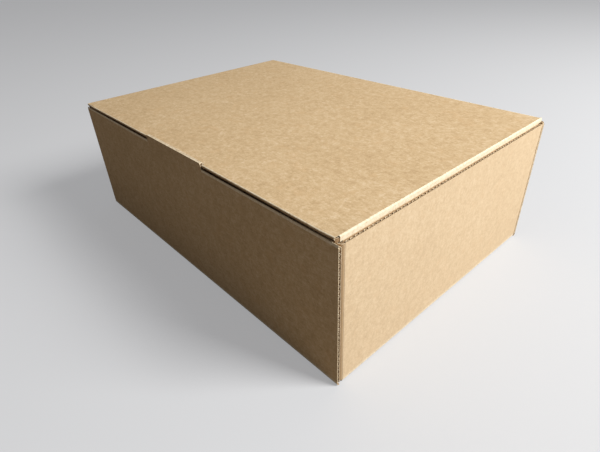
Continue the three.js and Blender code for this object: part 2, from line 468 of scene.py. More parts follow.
class Skin:
    """Collects closed strips of paper, and makes one mesh of them."""

    def __init__(self):
        self.points = []
        self.folds = []
        self.faces = []
        self.kinds = []

    def sweep(self, track, axis, low, high, near, far, parts=1, mirror=(1, 1), sides=(INSIDE, INSIDE),
              ends=CUT):
        """Paper between two depths under a track, run along an axis from low to high."""
        places = {
            "x": lambda a, b, v: (v, a, b),
            "y": lambda a, b, v: (a, v, b),
            "z": lambda a, b, v: (a, b, v),
        }
        place = places[axis]
        layers = []
        for depth in (near, far):
            grid = []
            for point, normal, fold, room in track.stations:
                a, b = point - normal * squeezed(depth, room)
                first, last = low(*point), high(*point)
                row = []
                for j in range(parts + 1):
                    x, y, z = place(a, b, first + (last - first) * j / parts)
                    row.append(len(self.points))
                    self.points.append((x * mirror[0], y * mirror[1], z))
                    self.folds.append(fold)
                grid.append(row)
            layers.append(grid)
        outer, inner = layers
        count = len(track.stations)
        for i in range(count - 1):
            for side, grid in zip(sides, layers):
                for j in range(parts):
                    self.face(side, grid[i][j], grid[i + 1][j], grid[i + 1][j + 1], grid[i][j + 1])
            for j in (0, parts):
                self.face(CUT, outer[i][j], outer[i + 1][j], inner[i + 1][j], inner[i][j])
        for i in (0, count - 1):
            for j in range(parts):
                self.face(ends, outer[i][j], outer[i][j + 1], inner[i][j + 1], inner[i][j])

    def face(self, kind, *corners):
        self.faces.append(corners)
        self.kinds.append(kind)

    def board(self, track, axis, low, high, board, parts=1, mirror=(1, 1), ends=CUT):
        """Both liners of a run of board."""
        self.sweep(track, axis, low, high, 0.0, board.liner, parts, mirror, (FACE, INSIDE), ends)
        self.sweep(track, axis, low, high, board.thickness - board.liner, board.thickness, parts, mirror,
                   (INSIDE, FACE), ends)

    def core(self, track, axis, low, high, board, parts=1, sides=(INSIDE, INSIDE)):
        """The crushed core between the liners."""
        near = board.liner * CORE_LAP
        self.sweep(track, axis, fixed(low), fixed(high), near, board.thickness - near, parts, sides=sides)

    def mesh(self, name, shape=None):
        points = [shape(Vector(p)) for p in self.points] if shape else self.points
        made = bpy.data.meshes.new(name)
        made.from_pydata(points, [], self.faces)
        made.polygons.foreach_set("material_index", self.kinds)
        fold = made.attributes.new("fold", "FLOAT", "POINT")
        fold.data.foreach_set("value", self.folds)
        dress(made, LINER_SLOTS)
        work = bmesh.new()
        work.from_mesh(made)
        bmesh.ops.recalc_face_normals(work, faces=work.faces)
        work.to_mesh(made)
        work.free()
        made.shade_smooth()
        made.set_sharp_from_angle(angle=SHARP_LINERS)
        return made


def dress(mesh, slots):
    """Gives a mesh its materials."""
    for name in slots:
        mesh.materials.append(bpy.data.materials[name])


def linked(name, data):
    """A new object in the scene."""
    made = bpy.data.objects.new(name, data)
    bpy.context.scene.collection.objects.link(made)
    return made


def fixed(value):
    """A limit of a sweep that is the same all along its track."""
    return lambda a, b: value


def rounded(radius, along):
    """How far a rounded corner steps in, at a distance along its edge from the end."""
    if along >= radius:
        return 0.0
    return radius - math.sqrt(max(0.0, radius ** 2 - (radius - along) ** 2))


def piece(name, mesh, body, replaced=None):
    """An object in the scene that rides a body, if it has one, and may stand for a solid of the CAD."""
    made = linked(name, mesh)
    if body:
        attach(made, body)
    if replaced:
        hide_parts(replaced)
    return made


def bowed(point):
    """Bows the lid's panel up between its ends, and sags its front edge between the corners."""
    share = max(0.0, 1 - (point.x / LID_RIGHT) ** 2)
    reach = min(1.0, max(0.0, (BACK - point.y) / (BACK - FRONT)))
    near = max(0.0, 1 - (point.y - FRONT) / LID_SAG_RUN)
    free = min(1.0, max(0.0, (LID_RIGHT - abs(point.x)) / LID_SAG_CORNER))
    return point + Vector((0, 0, LID_BOW * share * reach - LID_SAG * near ** 2 * free))


# Tray

def wall_track(board, top, y, way):
    """Front wall (way 1) or back wall (way -1), from its top edge down and under the base."""
    radius = board.fold
    centre = (y + way * radius, radius)
    first, last = (180, 270) if way > 0 else (0, -90)
    track = Track().line((y, top), (y, radius), (-way, 0), steps=12)
    track.turn(centre, radius, first, last)
    return track.line((y + way * radius, 0), (y + way * (radius + board.thickness), 0), (0, -1))


def side_wall_ends(board):
    """Where the side walls start and stop, between the folds of the corner flaps."""
    return FRONT + board.thickness + board.fold, BACK - board.thickness - BACK_CORNER_R


def add_end_walls(skin, board):
    """The front wall, and the back wall with its shoulders cut."""
    def wall_right(a, b):
        if b < ON_BASE:
            return RIGHT - board.fold
        if b > SHOULDER and a > 0:
            return RIGHT - SHOULDER_CUT * (b - SHOULDER) / (BACK_TOP - SHOULDER)
        return RIGHT

    front = wall_track(board, FRONT_TOP, FRONT, 1)
    back = wall_track(board, BACK_TOP, BACK, -1)
    for number, (point, normal, fold, room) in enumerate(back.stations):
        if point.y > SHOULDER and number > 0:
            back.stations[number] = (Vector((point.x, SHOULDER)), normal, fold, room)
    for track in (front, back):
        skin.board(track, "x", lambda a, b: -wall_right(a, b), wall_right, board, parts=12)


def add_tab(skin, board):
    """The tab on the front wall, with its corners cut off."""
    def tab_right(a, b):
        return TAB_HALF - max(0.0, TAB_CORNER - (TAB_TOP - b))

    tab = Track().line((FRONT, TAB_TOP), (FRONT, TAB_TOP - TAB_CORNER), (-1, 0))
    tab.line((FRONT, TAB_TOP - TAB_CORNER), (FRONT, FRONT_TOP), (-1, 0))
    skin.board(tab, "x", lambda a, b: -tab_right(a, b), tab_right, board, parts=6)


def add_base(skin, board):
    """The base and both side walls, which are one run of board."""
    radius = board.fold
    inside = RIGHT - radius
    sides = Track().line((RIGHT, SIDE_TOP), (RIGHT, radius), (1, 0), steps=8)
    sides.turn((inside, radius), radius, 0, -90)
    sides.line((inside, 0), (-inside, 0), (0, -1), steps=12)
    sides.turn((-inside, radius), radius, -90, -180)
    sides.line((-RIGHT, radius), (-RIGHT, SIDE_TOP), (-1, 0), steps=8)
    start, stop = side_wall_ends(board)
    skin.board(sides, "y", fixed(start), fixed(stop), board, parts=12, ends=INSIDE)


def add_corner_flaps(skin, board):
    """The four glued flaps, with the crushed core along their tops."""
    face = FRONT + board.thickness
    core_low, core_high = CORNER_CORE
    for mirror in ((1, 1), (-1, 1), (1, -1), (-1, -1)):
        bend = board.fold if mirror[1] > 0 else BACK_CORNER_R
        corner = Track().line((RIGHT, face + bend + CORNER_LEAD), (RIGHT, face + bend), (1, 0))
        # Painted shade: the corner's fold gets a fold of -1, darkened where shade falls beside the front
        # wall's end.
        corner.turn((RIGHT - bend, face + bend), bend, 0, -90, fold=-1.0)
        corner.line((RIGHT - bend, face), (RIGHT - CORNER_FLAP, face), (0, -1), steps=10)
        skin.board(corner, "z", corner_bottom, corner_top, board, mirror=mirror)
        skin.sweep(corner, "z", lambda a, b: corner_top(a, b) - core_low,
                   lambda a, b: corner_top(a, b) - core_high, board.liner, board.thickness - board.liner,
                   mirror=mirror)


def add_crushed_front(skin, board):
    """The front wall's cut edge, crushed to a wedge on both sides of the tab."""
    edge, lean = Vector((FRONT, FRONT_TOP)), Vector((WALL_CRUSH_IN, WALL_CRUSH_UP))
    # Painted highlight: the wedge's face gets a fold of 1, painted pale as if lit under the lid's lip.
    face = Track().line(edge + lean, edge, Vector((-lean.y, lean.x)).normalized(), fold=1.0)
    cut = Track().line((FRONT + board.thickness - WALL_CRUSH_BACK, FRONT_TOP), edge + lean, (0.7, 0.7))
    low, high = fixed(TAB_HALF), fixed(RIGHT - WALL_CRUSH_END)
    for way in (1, -1):
        for track, sides in ((face, (FACE, INSIDE)), (cut, (CUT, CUT))):
            skin.sweep(track, "x", low, high, 0.0, board.liner, parts=8, mirror=(way, 1), sides=sides)


def close_far_corner(skin, board):
    """A strip that closes the notch between the front wall's left end and the side wall's fold."""
    right = RIGHT - FAR_STRIP_INSET
    strip = Track().line((right, FAR_STRIP_TOP), (right, FAR_STRIP_BOTTOM), (1, 0))
    start, stop = FRONT + board.thickness - FAR_STRIP_LAP, side_wall_ends(board)[0]
    skin.sweep(strip, "y", fixed(start), fixed(stop), 0.0, board.liner, parts=2, mirror=(-1, 1))


def add_tray_core(skin, board):
    """Crushed core along the tray's cut edges that lie with the flutes."""
    for y, way, top, right in ((FRONT, 1, FRONT_TOP, RIGHT), (BACK, -1, BACK_TOP, RIGHT - SHOULDER_CUT)):
        edge = Track().line((y, top - CORE_GAP), (y, top - CORE_DEEP), (-way, 0))
        skin.core(edge, "x", -right + CORE_INSET, right - CORE_INSET, board, parts=4, sides=(CUT, CUT))
    for way in (-1, 1):
        low, high = sorted(way * (RIGHT - inset) for inset in BACK_END_CORE)
        edge = Track().line((BACK, SHOULDER - CORE_INSET), (BACK, board.fold), (1, 0))
        skin.core(edge, "x", low, high, board)
    edge = Track().line((FRONT, TAB_TOP - TAB_CORE_GAP), (FRONT, TAB_TOP - CORE_DEEP), (-1, 0))
    skin.core(edge, "x", -TAB_HALF + TAB_CORNER, TAB_HALF - TAB_CORNER, board)


def build_tray_liners(board):
    """The liners of the base, the walls, the tab and the corner flaps."""
    skin = Skin()
    for add in (add_end_walls, add_tab, add_base, add_corner_flaps, add_crushed_front, close_far_corner,
                add_tray_core):
        add(skin, board)
    piece("tray_liners", skin.mesh("tray_liners"), "tray", "tray")


def corner_top(a, b):
    """Top edge of a corner flap: level at the fold, then sloped down a little behind the wall."""
    inward = max(0.0, RIGHT - FOLD_RADIUS - a)
    return SIDE_TOP - CORNER_FALL * inward / (CORNER_FLAP - FOLD_RADIUS)


def corner_bottom(a, b):
    """Bottom edge of a corner flap, with its free corner cut off."""
    inward = RIGHT - a
    return CORNER_RELIEF + max(0.0, inward - (CORNER_FLAP - CORNER_CUT)) * CORNER_CUT_SLOPE


# Flutes

def flute_tree():
    """A wave of paper: it runs along x, swings along y, and its ridges run along z between two limits."""
    tree = bpy.data.node_groups.new("flute_wave", "GeometryNodeTree")
    tree.is_modifier = True
    inputs = (
        ("Length", 0.1), ("Columns", 100), ("Pitch", 0.0033), ("Height", 0.0013),
        ("Low", 0.0), ("High", 0.1), ("Low Start", 0.0), ("High Start", 0.0), ("Start Run", 0.01),
        ("Low End", 0.0), ("High End", 0.0), ("End Run", 0.01),
    )
    for name, default in inputs:
        item = tree.interface.new_socket(name, in_out="INPUT", socket_type=SOCKETS[type(default)])
        item.default_value = default
    tree.interface.new_socket("Material", in_out="INPUT", socket_type="NodeSocketMaterial")
    tree.interface.new_socket("Geometry", in_out="OUTPUT", socket_type="NodeSocketGeometry")
    maker = Maker(tree)
    group = maker.node("NodeGroupInput")

    def given(name):
        return Term(maker, group.outputs[name])

    length = given("Length")
    grid = maker.node("GeometryNodeMeshGrid", Size_X=length, Size_Y=1.0, Vertices_X=given("Columns"),
                      Vertices_Y=2)
    place = maker.node("ShaderNodeSeparateXYZ", Vector=maker.node("GeometryNodeInputPosition").outputs[0])
    along = maker.term(place, 0) + length * 0.5
    share = maker.term(place, 1) + 0.5
    at_start = (1 - along / given("Start Run")).at_least(0.0)
    at_end = (1 - (length - along) / given("End Run")).at_least(0.0)
    low = given("Low") + given("Low Start") * at_start + given("Low End") * at_end
    high = given("High") + given("High Start") * at_start + given("High End") * at_end
    swing = (along * (2 * math.pi) / given("Pitch")).sine() * given("Height") * 0.5
    moved = maker.node("ShaderNodeCombineXYZ", X=along, Y=swing, Z=low + (high - low) * share)
    wave = maker.node("GeometryNodeSetPosition", Geometry=grid.outputs[0], Position=moved.outputs[0])
    real = maker.node("GeometryNodeRealizeInstances", Geometry=wave.outputs[0])
    painted = maker.node("GeometryNodeSetMaterial", Geometry=real.outputs[0],
                         Material=group.outputs["Material"])
    maker.node("NodeGroupOutput", Geometry=painted.outputs[0])
    return tree


def wave_mesh(board, length, low, high, ends=None, rim=FLUTE_CUT):
    """One sheet of the medium as a plain mesh. rim is the slot of its cut edges."""
    tree = bpy.data.node_groups.get("flute_wave") or flute_tree()
    carrier = linked("wave", bpy.data.meshes.new("wave"))
    dress(carrier.data, FLUTE_SLOTS)
    modifier = carrier.modifiers.new("flutes", "NODES")
    modifier.node_group = tree
    values = {
        "Length": length, "Columns": int(length / board.pitch * WAVE_STEPS) + 2, "Pitch": board.pitch,
        "Height": board.thickness - 2 * board.liner - board.medium, "Low": low, "High": high,
        "Material": bpy.data.materials["kraft_core_shaded"], **(ends or {}),
    }
    for item in tree.interface.items_tree:
        if item.in_out == "INPUT" and item.name in values:
            modifier[item.identifier] = values[item.name]
    paper = carrier.modifiers.new("paper", "SOLIDIFY")
    paper.thickness = board.medium
    paper.offset = 0.0
    paper.material_offset_rim = rim
    evaluated = carrier.evaluated_get(bpy.context.evaluated_depsgraph_get())
    made = bpy.data.meshes.new_from_object(evaluated)
    bpy.data.objects.remove(carrier)
    return made


def placed(mesh, origin, along, swing, ridge):
    """Turns a wave's own directions into the box's."""
    turn = Matrix((along, swing, ridge)).transposed().to_4x4()
    turn.translation = Vector(origin)
    mesh.transform(turn)
    return mesh


def joined(name, meshes, shape=None):
    """One mesh of several sheets of the medium, which are used up."""
    work = bmesh.new()
    for mesh in meshes:
        work.from_mesh(mesh)
        bpy.data.meshes.remove(mesh)
    if shape:
        for vertex in work.verts:
            vertex.co = shape(vertex.co)
    bmesh.ops.recalc_face_normals(work, faces=work.faces)
    made = bpy.data.meshes.new(name)
    work.to_mesh(made)
    work.free()
    dress(made, FLUTE_SLOTS)
    made.shade_smooth()
    made.set_sharp_from_angle(angle=SHARP_FLUTES)
    return made


def build_tray_flutes(board):
    """The fluted paper in the tray's walls, tab and corner flaps."""
    half = board.thickness / 2
    low = board.fold
    right = RIGHT - FLUTE_INSET
    tab_right = TAB_HALF - FLUTE_INSET
    shoulders = {"Low End": SHOULDER_CUT, "High End": -SHOULDER_CUT, "End Run": BACK_TOP - SHOULDER}
    front_height, back_height, tab_height = (
        top - bottom - FLUTE_GAP for top, bottom in ((FRONT_TOP, low), (BACK_TOP, low), (TAB_TOP, FRONT_TOP)))
    meshes = [
        placed(wave_mesh(board, front_height, -right, right), (0, FRONT + half, low), Z, Y, X),
        placed(wave_mesh(board, back_height, -right, right, shoulders), (0, BACK - half, low), Z, Y, X),
        placed(wave_mesh(board, tab_height, -tab_right, tab_right), (0, FRONT + half, FRONT_TOP), Z, Y, X),
    ]
    start, stop = side_wall_ends(board)
    run = CORNER_FLAP - board.fold
    for way in (1, -1):
        wall = wave_mesh(board, stop - start, low, SIDE_TOP - FLUTE_INSET, rim=FLUTE)
        meshes.append(placed(wall, (way * (RIGHT - half), start, 0), Y, way * X, Z))
        for side in (1, -1):
            flap = wave_mesh(board, run, CORNER_FLUTE_LOW, corner_top(RIGHT - CORNER_FLAP, 0) - FLUTE_INSET,
                             {"High Start": CORNER_FALL, "Start Run": run})
            origin = (side * (RIGHT - board.fold), way * (FRONT + board.thickness + half), 0)
            meshes.append(placed(flap, origin, -side * X, Y, Z))
    piece("tray_flutes", joined("tray_flutes", meshes), "tray")


# Lid

def side_flap_front(a, b):
    """Front edge of the lid's side flap: under the fold it steps back, and tapers so that it swings clear."""
    if b > SIDE_FLAP_TOP:
        return LID_FRONT + LID_RELIEF
    return SIDE_FLAP_FRONT + SIDE_FLAP_TAPER * flap_share(b) + flap_round(b)


def side_flap_back(a, b):
    """Back edge of the lid's side flap: it steps round the back wall's top."""
    if b > BACK_CLEAR:
        return SIDE_FOLD_BACK
    if b > SIDE_FLAP_TOP:
        return SIDE_NECK_BACK
    return SIDE_FLAP_BACK - SIDE_FLAP_BACK_TAPER * flap_share(b) - flap_round(b)


def flap_share(b):
    """How far down a side flap a height is, from 0 at its neck."""
    return max(0.0, SIDE_FLAP_NECK - b) / SIDE_FLAP


def flap_round(b):
    """How far the rounded lower corners of a side flap step in at a height."""
    return rounded(SIDE_FLAP_ROUND, b - (LID_TOP - FOLD_RADIUS - SIDE_FLAP))


def tuck_right(depth):
    """Half the width of the tuck flap at a depth below its fold."""
    inward = TUCK_START + (TUCK_NECK - TUCK_START) * min(depth, TUCK_EAR) / TUCK_EAR
    inward += TUCK_IN * max(0.0, depth - TUCK_EAR) / (TUCK_FLAP - TUCK_EAR)
    return LID_RIGHT - inward - rounded(TUCK_ROUND, TUCK_FLAP - depth)


def slope(degrees):
    """The outward normal and the way down of a flap that leans back by an angle, in section."""
    turn = math.radians(degrees)
    return Vector((-math.cos(turn), -math.sin(turn))), Vector((math.sin(turn), -math.cos(turn)))


def tuck_points(board, front=LID_FRONT, lean=TUCK_LEAN):
    """The tuck flap in section: its root under the crushed fold, and the kink where it turns down."""
    normal, down = slope(TUCK_LEAN)
    middle = Vector((LID_FRONT + board.crushed, LID_TOP - board.crushed)) + normal * board.crushed
    hang = middle + down * TUCK_KINK
    normal, down = slope(lean)
    root = Vector((front + board.crushed, LID_TOP - board.crushed)) + normal * board.crushed
    across = slope(TUCK_SLANT)[0]
    return root, root + down * ((hang - root).dot(across) / down.dot(across))


def tuck_track(board, front, lean):
    """The tuck flap's outer face in section, from the panel over the fold and down to the rounded tip."""
    tight = board.crushed
    track = Track().line((front + tight + FOLD_LEAD, LID_TOP), (front + tight, LID_TOP), (0, 1))
    track.turn((front + tight, LID_TOP - tight), tight, 90, 180 + lean)
    # Painted shade: the lip's faces that do not face up, and the flap below them, get a fold of -1, darkened
    # where shade falls under the lid's edge.
    track.shade(lambda normal, fold: fold if normal.y > LIP_FACES_UP else -1.0)
    root, kink = tuck_points(board, front, lean)
    track.line(root, kink, slope(lean)[0], steps=3, fold=-1.0, room=TUCK_ROOT_ROOM)
    normal, down = slope(TUCK_SLANT)
    below = TUCK_FLAP - TUCK_KINK + (tuck_points(board)[1] - kink).dot(down)
    track.line(kink + down * KINK_LEAD, kink + down * (below - TUCK_ROUND), normal, steps=6)
    for i in range(1, ROUND_STEPS + 1):
        reach = below - TUCK_ROUND * (1 - math.sin(i * math.pi / 2 / ROUND_STEPS))
        track.add(kink + down * reach, normal, 0.0)
    return track, root, kink + down * below


def add_side_flaps(skin, board):
    """Both side flaps, from their rounded tips up and over the crushed folds. The left fold stands out."""
    tight = board.crushed
    bottom = LID_TOP - board.fold - SIDE_FLAP
    for way, bulge in ((1, 0.0), (-1, LEFT_BULGE)):
        side = Track()
        for i in range(ROUND_STEPS + 1):
            height = bottom + SIDE_FLAP_ROUND * (1 - math.cos(i * math.pi / 2 / ROUND_STEPS))
            side.add(Vector((LID_RIGHT, height)), Vector((1, 0)), 0.0)
        side.line((LID_RIGHT, bottom + SIDE_FLAP_ROUND), (LID_RIGHT, SIDE_FLAP_TOP), (1, 0), steps=4)
        # Painted highlight: the flap's face under the lid's fold gets a fold of 1, painted pale as if lit.
        side.line((LID_RIGHT, SIDE_FLAP_TOP + STEP), (LID_RIGHT, BACK_CLEAR), (1, 0), fold=1.0)
        first, room = (LEFT_TURN, tight) if bulge else (0, OPEN)
        turn = math.radians(first)
        folded = LID_RIGHT - tight + bulge
        start = Vector((LID_RIGHT, BACK_CLEAR + STEP))
        end = Vector((folded, LID_TOP - tight)) + Vector((math.cos(turn), math.sin(turn))) * tight
        across = (end - start).normalized()
        side.line(start, end, (across.y, -across.x), fold=1.0, room=room)
        side.turn((folded, LID_TOP - tight), tight, first, 90)
        side.line((folded, LID_TOP), (folded - FOLD_LEAD, LID_TOP), (0, 1))
        skin.board(side, "y", side_flap_front, side_flap_back, board, parts=12, mirror=(way, 1))
        close_lid_side(skin, board, way, bulge)


def close_lid_side(skin, board, way, bulge):
    """The web of liner at the lid's front corner, and the strip under a fold that stands out."""
    right = LID_RIGHT + bulge
    level = LID_TOP - board.crushed
    back, front = (right - WEB_BACK_INSET, WEB_BACK), (right - WEB_FRONT_INSET, WEB_FRONT)
    corner = Track().line(back, front, WEB_NORMAL)
    skin.sweep(corner, "z", fixed(WEB_BOTTOM), fixed(level), 0.0, board.liner, mirror=(way, 1))
    if bulge:
        inset = right - CURTAIN_INSET
        curtain = Track().line((inset, level), (inset, CURTAIN_BOTTOM), (1, 0), fold=1.0)
        skin.sweep(curtain, "y", fixed(CURTAIN_FRONT), fixed(CURTAIN_BACK), 0.0, board.liner, parts=12,
                   mirror=(way, 1))


def add_panel(skin, board):
    """The lid's panel, in runs that end at the tab and at the corners, and its fold at the back."""
    radius = board.fold
    tight = board.crushed
    inside = LID_RIGHT - tight
    neck = tuck_right(0.0)
    clear = TAB_HALF + TAB_CLEAR

    def panel_front(a, b):
        bulge = LEFT_BULGE if a < 0 else 0.0
        if abs(a) > neck + bulge + STEP / 2:
            corner = (abs(a) - neck - bulge) / (inside - neck)
            return LIP_FRONT + tight * 0.5 + (LID_FRONT + LID_RELIEF - LIP_FRONT) * corner
        return tight + (LID_FRONT if abs(a) < clear + STEP / 2 else LIP_FRONT)

    panel = Track()
    for start, end, steps, room in (
            (inside, neck + STEP, 1, tight),
            (neck, clear + STEP, 8, OPEN),
            (clear, -clear, 6, OPEN),
            (-clear - STEP, -neck - LEFT_BULGE, 8, OPEN),
            (-neck - LEFT_BULGE - STEP, -inside - LEFT_BULGE, 1, tight)):
        panel.line((start, LID_TOP), (end, LID_TOP), (0, 1), steps=steps, room=room)
    skin.board(panel, "y", panel_front, fixed(BACK - radius), board, parts=32)
    hinge = Track().line((BACK - radius - FOLD_LEAD, LID_TOP), (BACK - radius, LID_TOP), (0, 1))
    hinge.turn((BACK - radius, LID_TOP - radius), radius, 90, 0)
    skin.board(hinge, "x", fixed(-inside), fixed(inside), board, parts=24)


def add_tuck_flap(skin, board):
    """The tuck flap: straight behind the tab, and with a lip over the front wall on both sides of it."""
    clear = TAB_HALF + TAB_CLEAR
    track = tuck_track(board, LID_FRONT, TUCK_LEAN)[0]
    skin.board(track, "x", fixed(-clear), fixed(clear), board, parts=6)
    track, root, tip = tuck_track(board, LIP_FRONT, LIP_LEAN)

    def right_edge(a, b):
        depth = max(0.0, root.y - b) / math.cos(math.radians(TUCK_SLANT))
        return tuck_right(min(depth, TUCK_FLAP))

    def left_edge(a, b):
        return right_edge(a, b) + LEFT_BULGE * max(0.0, 1 - max(0.0, root.y - b) / TUCK_START)

    skin.board(track, "x", fixed(clear + STEP), right_edge, board, parts=12)
    skin.board(track, "x", fixed(clear + STEP), left_edge, board, parts=12, mirror=(-1, 1))
    normal, down = slope(TUCK_SLANT)
    high, low = (tip - down * depth for depth in TIP_CORE)
    right = tuck_right(TUCK_FLAP) - TIP_CORE_INSET
    skin.core(Track().line(high, low, normal), "x", -right, right, board, parts=24)


def build_lid_liners(board):
    """The liners of the lid's panel, side flaps and tuck flap."""
    skin = Skin()
    for add in (add_side_flaps, add_panel, add_tuck_flap):
        add(skin, board)
    piece("lid_liners", skin.mesh("lid_liners", bowed), "lid", "lid")


def build_lid_flutes(board):
    """The fluted paper in the lid's side flaps and tuck flap."""
    half = board.thickness / 2
    bottom = LID_TOP - board.fold - SIDE_FLAP
    start, stop = (edge(0, bottom + SIDE_FLAP_ROUND) for edge in (side_flap_front, side_flap_back))
    run = SIDE_FLAP_ROUND * SIDE_ROUND_RUN
    meshes = []
    for way in (1, -1):
        flap = wave_mesh(board, stop - start, bottom + FLUTE_INSET, LID_TOP - board.fold, {
            "Low Start": SIDE_FLAP_ROUND, "Start Run": run, "Low End": SIDE_FLAP_ROUND, "End Run": run})
        meshes.append(placed(flap, (way * (LID_RIGHT - half), start, 0), Y, way * X, Z))
    normal, fall = slope(TUCK_SLANT)
    outward, down = Vector((0, *normal)), Vector((0, *fall))
    root = Vector((0, *tuck_points(board)[1])) - outward * half
    right = tuck_right(TUCK_EAR) - FLUTE_INSET
    ear = tuck_right(TUCK_KINK) - tuck_right(TUCK_EAR)
    tuck = wave_mesh(board, TUCK_FLAP - TUCK_KINK - FLUTE_GAP, -right, right, {
        "Low Start": -ear, "High Start": ear, "Start Run": TUCK_EAR - TUCK_KINK,
        "Low End": TUCK_ROUND, "High End": -TUCK_ROUND, "End Run": TUCK_ROUND * TUCK_ROUND_RUN})
    meshes.append(placed(tuck, root, down, outward, X))
    piece("lid_flutes", joined("lid_flutes", meshes, bowed), "lid")


def build_crease(board):
    """The scored crease that the lid turns on. This piece rides no body and does not stretch when the lid is
    opened.
    """
    skin = Skin()
    radius = board.fold
    level = LID_TOP - radius
    turning = level - CREASE_TURN * 1.5
    track = Track().line((BACK, level - CREASE_REACH), (BACK, turning), (1, 0), steps=2)
    track.line((BACK, turning), (BACK, level), (1, 0), steps=6)
    track.turn((BACK - radius, level), radius, 0, CREASE_OVER)
    track.shade(lambda normal, fold: 1.0)
    right = LID_RIGHT - board.crushed
    skin.sweep(track, "x", fixed(-right), fixed(right), -CREASE_PROUD, board.thickness + CREASE_PROUD,
               parts=24, sides=(FACE, FACE))
    made = piece("back_crease", skin.mesh("back_crease", bowed), None)
    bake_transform(made)


# Stage

def build_stage(light):
    """The floor, the key lamp, the room's light and the camera."""
    floor_mesh = bpy.data.meshes.new("floor")
    corners = [(x * FLOOR_HALF, y * FLOOR_HALF, 0) for x, y in ((-1, -1), (1, -1), (1, 1), (-1, 1))]
    floor_mesh.from_pydata(corners, [], [(0, 1, 2, 3)])
    floor = linked("floor", floor_mesh)
    material, maker = start_material("pale_floor")
    seen = maker.node("ShaderNodeLightPath").outputs["Is Camera Ray"]
    colour = maker.blend(seen, light.floor_bounce, light.floor_colour)
    glow = maker.blend(seen, BLACK, light.floor_glow)
    shader = maker.node("ShaderNodeBsdfPrincipled", Base_Color=colour, Roughness=0.9, Emission_Color=glow,
                        Emission_Strength=1.0)
    maker.node("ShaderNodeOutputMaterial", Surface=shader.outputs[0])
    floor_mesh.materials.append(material)

    lamp = bpy.data.lights.new("key", "AREA")
    lamp.shape = "SQUARE"
    lamp.size = light.key_size
    lamp.energy = light.key_power
    lamp.color = light.key_colour[:3]
    key = linked("key", lamp)
    centre = Vector((0.0, 0.0, LID_TOP / 2))
    azimuth, rise = light.key_azimuth, light.key_elevation
    toward = Vector((math.cos(azimuth) * math.cos(rise), math.sin(azimuth) * math.cos(rise), math.sin(rise)))
    key.location = centre + toward * light.key_distance
    key.rotation_mode = "QUATERNION"
    key.rotation_quaternion = (-toward).to_track_quat("-Z", "Y")

    world = bpy.data.worlds.new("soft_room")
    bpy.context.scene.world = world
    world.use_nodes = True
    maker = Maker(world.node_tree)
    seen = maker.term(maker.node("ShaderNodeLightPath"), "Is Camera Ray")
    colour = maker.blend(seen, light.fill_colour, light.backdrop)
    strength = seen + (1 - seen) * light.fill
    ground = maker.node("ShaderNodeBackground", Color=colour, Strength=strength)
    maker.node("ShaderNodeOutputWorld", Surface=ground.outputs[0])

    lens = bpy.data.cameras.new("camera")
    lens.sensor_width = SENSOR
    lens.lens = FOCAL_PIXELS / PHOTO_WIDTH * SENSOR
    lens.clip_start = CLIP_START
    camera = linked("camera", lens)
    camera.rotation_mode = "QUATERNION"
    camera.location = CAMERA_AT
    camera.rotation_quaternion = CAMERA_LOOK.to_track_quat("-Z", "Y") @ Quaternion((0, 0, 1), CAMERA_ROLL)
    bpy.context.scene.camera = camera
    bpy.context.scene.view_settings.view_transform = "Standard"


# Settings, operators and panel

def number_value(name, description, default, **kind):
    """A setting that is a number."""
    return bpy.props.FloatProperty(name=name, description=description, default=default, **kind)


def length_value(name, description, default):
    """A setting that is a length in metres."""
    return number_value(name, description, default, min=0.0, precision=5, subtype="DISTANCE", unit="LENGTH")


def angle_value(name, description, degrees):
    """A setting that is an angle."""
    return number_value(name, description, math.radians(degrees), subtype="ANGLE", unit="ROTATION")


def colour_value(name, description, default):
    """A setting that is a linear colour."""
    return bpy.props.FloatVectorProperty(name=name, description=description, default=default, size=4, min=0.0,
                                         max=1.0, subtype="COLOR")


class MailerBoard(bpy.types.PropertyGroup):
    thickness: length_value("Thickness", "Thickness of the board", 0.0020)
    liner: length_value("Liner", "Thickness of one liner", 0.00028)
    medium: length_value("Medium", "Thickness of the fluted paper", 0.00022)
    pitch: length_value("Flute pitch", "Distance from one flute to the next", 0.0033)
    fold: length_value("Fold radius", "Outer radius of a fold", FOLD_RADIUS)
    crushed: length_value("Crushed fold radius", "Outer radius of the lid's front and side folds", 0.0009)
    liner_colour: colour_value("Liner colour", "Main colour of the liners", paint(203, 176, 136))
    dark_colour: colour_value("Dark pulp", "Darkest mottling of the liners", paint(166, 135, 98))
    # Also the colour of the painted shade at folds below 0.
    light_colour: colour_value("Light pulp", "Palest mottling of the liners", paint(232, 211, 180))
    warm_colour: colour_value("Warm pulp", "Warmer patches of the liners", paint(206, 171, 126))
    fleck_colour: colour_value("Flecks", "Dark bits of bark in the pulp", paint(136, 104, 70))
    # Painted light: a paler colour for the side walls that stands in for the lit side face.
    side_light_colour: colour_value("Side walls", "Paler paper of the side walls", paint(222, 207, 184))
    # Partly real wear, partly a painted highlight on lit folds and edges.
    worn_and_highlight_colour: colour_value("Worn folds", "Paper stretched pale over a fold", paint(242, 232, 208))
    # The fluted paper is kept darker than the liners: partly its own tone, partly painted shade so the flute
    # holes read dark.
    core_shaded_colour: colour_value("Core", "Fluted paper", paint(156, 128, 96))
    core_shaded_dark: colour_value("Dark core", "Darkest part of the fluted paper", paint(106, 84, 60))
    core_pale: colour_value("Pale core", "Palest part of the fluted paper", paint(190, 162, 128))
    cut_colour: colour_value("Cut edge", "Cut edges of the paper", paint(214, 196, 166))
    cut_dark: colour_value("Dark cut edge", "Darkest fibres of a cut edge", paint(160, 138, 108))
    cut_pale: colour_value("Pale cut edge", "Palest fibres of a cut edge", paint(236, 224, 200))


